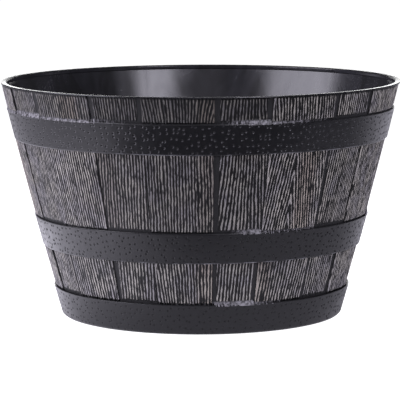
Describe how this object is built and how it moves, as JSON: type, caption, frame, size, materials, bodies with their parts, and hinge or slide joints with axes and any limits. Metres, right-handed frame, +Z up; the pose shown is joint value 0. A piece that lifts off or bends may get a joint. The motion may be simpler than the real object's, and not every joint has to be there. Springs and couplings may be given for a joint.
{
  "type": "half-barrel planter",
  "caption": "Round moulded-resin planter shaped like a half wine barrel, with weathered staves, hammered hoops, a smooth inside and lift-out rubber drain plugs.",
  "frame": {"origin": "on the ground under the middle of the base", "axes": "+Z up along the axis of the tub, -Y towards the viewer of the picture, +X to the viewer's right"},
  "size_m": [0.5651, 0.5652, 0.33],
  "materials": {
    "weathered_resin": "moulded charcoal resin, wood-grain staves dry-brushed grey-brown, hammered hoops left charcoal, satin inside",
    "plug_rubber": "matt black moulded rubber"
  },
  "bodies": {
    "tub": {"tub": "weathered_resin"},
    "plug_middle": {"drain_plug_middle": "plug_rubber"},
    "plug_front": {"drain_plug_front": "plug_rubber"},
    "plug_back": {"drain_plug_back": "plug_rubber"},
    "plug_left": {"drain_plug_left": "plug_rubber"},
    "plug_right": {"drain_plug_right": "plug_rubber"}
  },
  "joints": [
    {"name": "plug_middle_lift", "type": "slide", "parent": "tub", "child": "plug_middle", "axis": [0, 0, 1], "range_m": [0, 0.045]},
    {"name": "plug_front_lift", "type": "slide", "parent": "tub", "child": "plug_front", "axis": [0, 0, 1], "range_m": [0, 0.045]},
    {"name": "plug_back_lift", "type": "slide", "parent": "tub", "child": "plug_back", "axis": [0, 0, 1], "range_m": [0, 0.045]},
    {"name": "plug_left_lift", "type": "slide", "parent": "tub", "child": "plug_left", "axis": [0, 0, 1], "range_m": [0, 0.045]},
    {"name": "plug_right_lift", "type": "slide", "parent": "tub", "child": "plug_right", "axis": [0, 0, 1], "range_m": [0, 0.045]}
  ]
}
